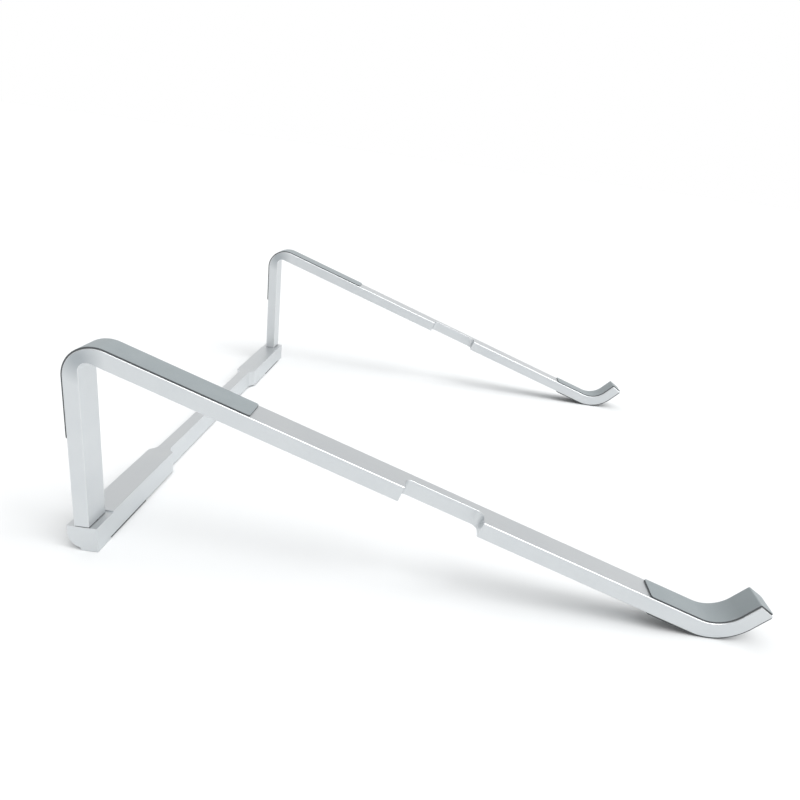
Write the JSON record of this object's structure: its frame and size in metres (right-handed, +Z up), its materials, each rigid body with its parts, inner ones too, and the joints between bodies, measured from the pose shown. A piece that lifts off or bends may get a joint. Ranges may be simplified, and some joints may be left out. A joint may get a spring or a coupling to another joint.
{
  "type": "laptop stand",
  "caption": "Folding laptop stand: a rear crossbar with a bent aluminium arm on a pivot at each end, silicone pads on the arms' tops and hooks that hold the laptop's front edge.",
  "frame": {"origin": "on the desk, under the centre of the stand's outer box, with the arms open", "axes": "+X to the user's right along the crossbar, +Y from the user towards the crossbar, +Z up"},
  "size_m": [0.2642, 0.2516, 0.0768],
  "materials": {
    "bead_blasted_aluminium": "fine bead-blasted and clear anodised, with bright bevelled edges",
    "grey_silicone": "matt, smooth",
    "plain_steel": "turned",
    "black_acetal": "turned, low friction"
  },
  "bodies": {
    "base": {"crossbar": "bead_blasted_aluminium", "left_crossbar_foot": "grey_silicone", "left_pivot_bush": "black_acetal", "right_crossbar_foot": "grey_silicone", "right_pivot_bush": "black_acetal"},
    "left_side": {"left_arm": "bead_blasted_aluminium", "left_top_pad": "grey_silicone", "left_hook_pad": "grey_silicone", "left_hook_foot": "grey_silicone", "left_pivot_pin": "plain_steel", "left_thrust_plate": "black_acetal", "left_stop_washer": "plain_steel", "left_wave_washer": "plain_steel", "left_pivot_screw": "plain_steel"},
    "right_side": {"right_arm": "bead_blasted_aluminium", "right_top_pad": "grey_silicone", "right_hook_pad": "grey_silicone", "right_hook_foot": "grey_silicone", "right_pivot_pin": "plain_steel", "right_thrust_plate": "black_acetal", "right_stop_washer": "plain_steel", "right_wave_washer": "plain_steel", "right_pivot_screw": "plain_steel"}
  },
  "joints": [
    {"name": "left_arm_swing", "type": "hinge", "parent": "base", "child": "left_side", "pos_m": [-0.1261, 0.1204, 0.0097], "axis": [0, 0, 1], "range_deg": [0, 86]},
    {"name": "right_arm_swing", "type": "hinge", "parent": "base", "child": "right_side", "pos_m": [0.1261, 0.1204, 0.0097], "axis": [0, 0, -1], "range_deg": [0, 86]}
  ]
}
